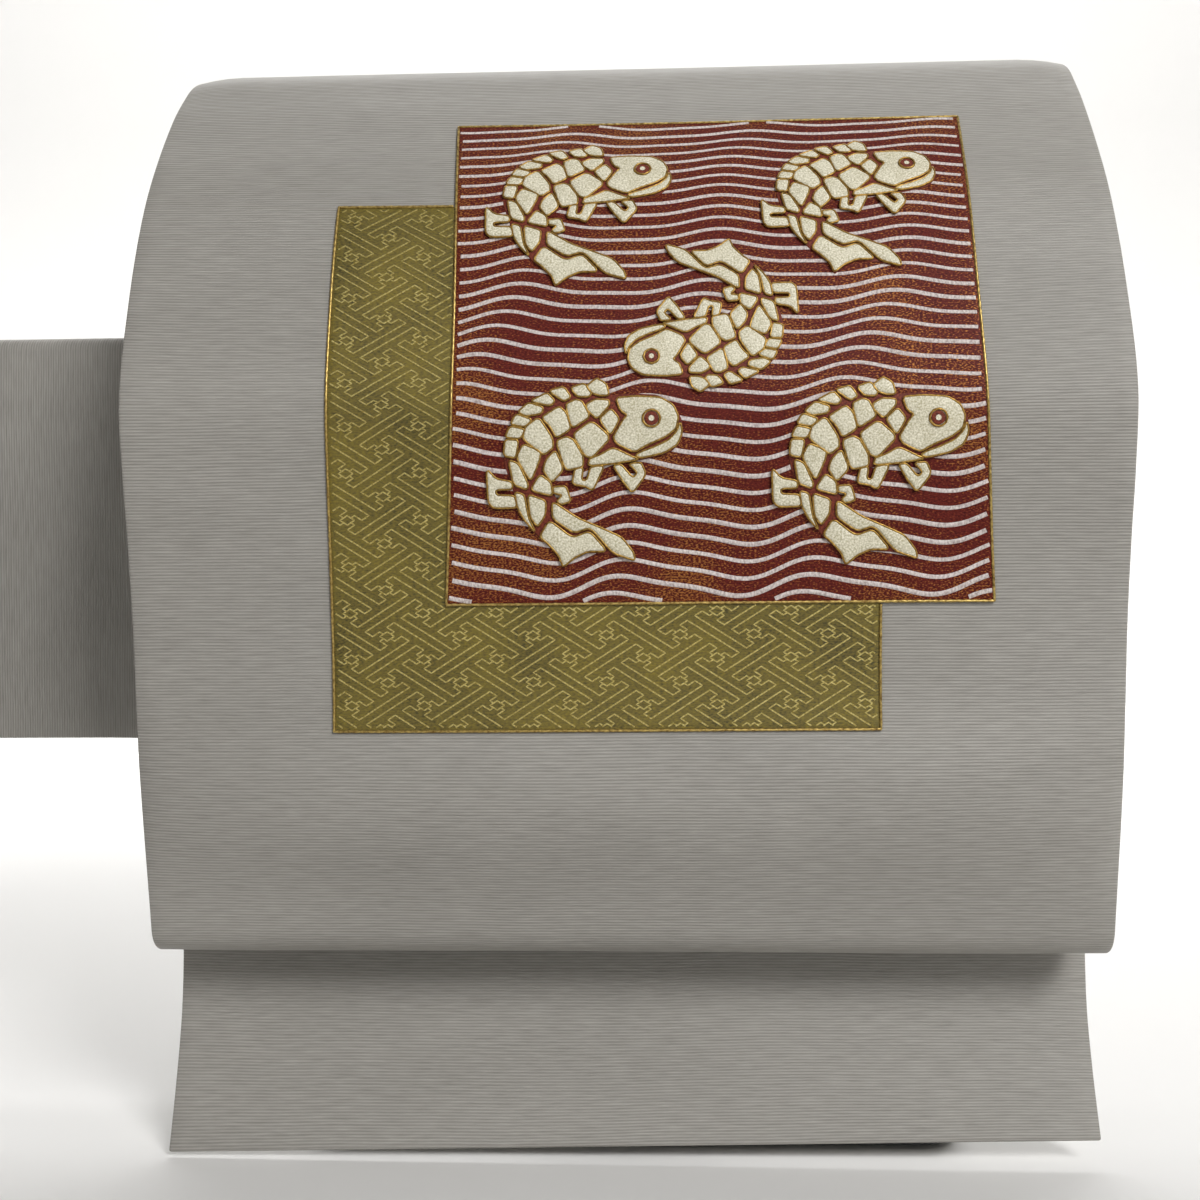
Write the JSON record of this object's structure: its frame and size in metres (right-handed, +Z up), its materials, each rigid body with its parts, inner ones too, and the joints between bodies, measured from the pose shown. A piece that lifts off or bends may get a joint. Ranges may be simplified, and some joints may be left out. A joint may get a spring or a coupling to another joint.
{
  "type": "kimono sash drum bow on a stand",
  "caption": "Ready-tied drum bow of a kimono sash, with brocade squares and appliqued carp, held in shape by a pillow and a bar on a small telescopic table stand.",
  "frame": {"origin": "centre of the base's underside", "axes": "+X along the length of the bow's ridge, to the right of someone facing the bow; +Y from the face of the bow to its back; +Z up"},
  "size_m": [0.4178, 0.2321, 0.3745],
  "materials": {
    "grey_silk": "ribbed silk, soft sheen",
    "core_cloth": "brushed cotton interlining",
    "lining_cloth": "plain woven lining",
    "olive_brocade": "brocade with gilt key fret",
    "red_brocade": "brocade with pale wave stripes",
    "gold_cord": "couched gilt thread",
    "cream_satin": "cream applique cloth outlined in gilt thread",
    "white_gauze": "cotton gauze",
    "pillow_fibre": "fibre padding",
    "cotton_tape": "herringbone tape",
    "black_paint": "satin powder coat",
    "chrome_tube": "polished",
    "brushed_steel": "turned",
    "black_plastic": "moulded, fine grain",
    "grey_felt": "pressed felt",
    "kraft_paper": "spiral-wound paper tube"
  },
  "bodies": {
    "base": {"base_felt": "grey_felt", "base_plate": "black_paint", "post_socket": "black_paint", "socket_screw_1": "brushed_steel", "socket_screw_2": "brushed_steel", "socket_screw_3": "brushed_steel", "outer_tube": "chrome_tube", "clamp_collar": "black_paint"},
    "knob": {"clamp_knob": "black_plastic", "clamp_screw": "brushed_steel"},
    "head": {"inner_tube": "chrome_tube", "saddle_hub": "black_paint", "saddle_trough": "black_paint", "saddle_screw": "brushed_steel", "pillow_core": "pillow_fibre", "pillow_gauze": "white_gauze", "pillow_strap_left": "cotton_tape", "pillow_strap_right": "cotton_tape", "rail_collar": "black_paint", "tare_rail": "black_paint", "rail_screw_left": "brushed_steel", "rail_screw_right": "brushed_steel", "rail_grub_screw": "brushed_steel", "tare_bar": "chrome_tube", "bar_cap_left": "black_plastic", "bar_cap_right": "black_plastic", "te_bracket": "black_paint", "te_grub_screw": "brushed_steel", "te_rod": "chrome_tube", "te_rod_nut": "brushed_steel", "drum_face_silk": "grey_silk", "drum_interlining": "core_cloth", "drum_lining": "lining_cloth", "fold_tube": "kraft_paper", "olive_patch": "olive_brocade", "olive_cord": "gold_cord", "red_patch": "red_brocade", "red_cord": "gold_cord", "carp_1": "cream_satin", "carp_2": "cream_satin", "carp_3": "cream_satin", "carp_4": "cream_satin", "carp_5": "cream_satin"},
    "te": {"te_face_silk": "grey_silk", "te_interlining": "core_cloth", "te_lining": "lining_cloth"},
    "tare": {"tare_face_silk": "grey_silk", "tare_interlining": "core_cloth", "tare_lining": "lining_cloth"}
  },
  "joints": [
    {"name": "post_slide", "type": "slide", "parent": "base", "child": "head", "axis": [0, 0, 1], "range_m": [0, 0.08]},
    {"name": "clamp_knob_turn", "type": "hinge", "parent": "base", "child": "knob", "pos_m": [0.03, -0.059, 0.162], "axis": [1, 0, 0], "range_deg": [0, 360]},
    {"name": "te_slide", "type": "slide", "parent": "head", "child": "te", "axis": [1, 0, 0], "range_m": [-0.04, 0.06]},
    {"name": "tare_swing", "type": "hinge", "parent": "head", "child": "tare", "pos_m": [0, -0.0857, 0.064], "axis": [-1, 0, 0], "range_deg": [-7, 60]}
  ]
}
